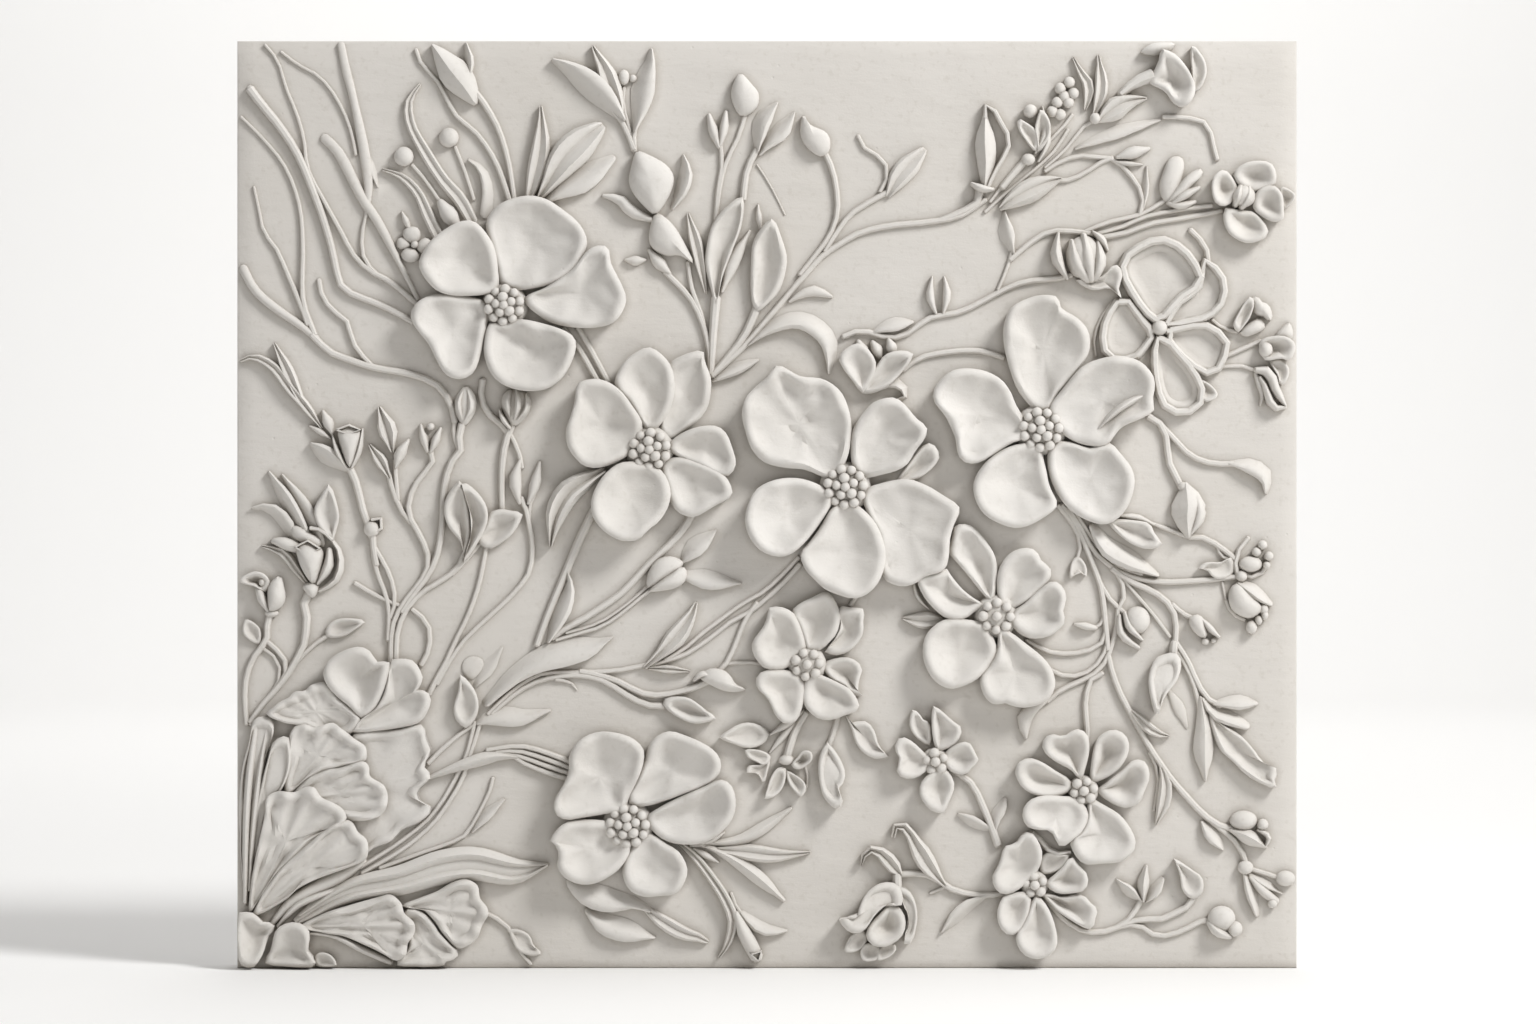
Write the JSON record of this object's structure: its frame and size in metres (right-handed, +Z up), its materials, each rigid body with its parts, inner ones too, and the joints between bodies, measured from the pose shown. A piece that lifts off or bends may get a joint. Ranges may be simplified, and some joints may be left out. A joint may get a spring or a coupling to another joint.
{
  "type": "floral relief wall panel",
  "caption": "Rectangular cast relief panel with raised flowers, leaves, buds and winding stems on a flat ground, made to hang on or be fixed to a wall by its flat back.",
  "frame": {"origin": "centre of the flat back, which lies against the wall", "axes": "+X to the viewer's right along the panel's length, +Y into the wall, +Z up; the relief faces -Y"},
  "size_m": [0.6, 0.0396, 0.525],
  "materials": {
    "plaster": "matte off-white cast plaster"
  },
  "bodies": {
    "root": {"relief_panel": "plaster"}
  },
  "joints": []
}
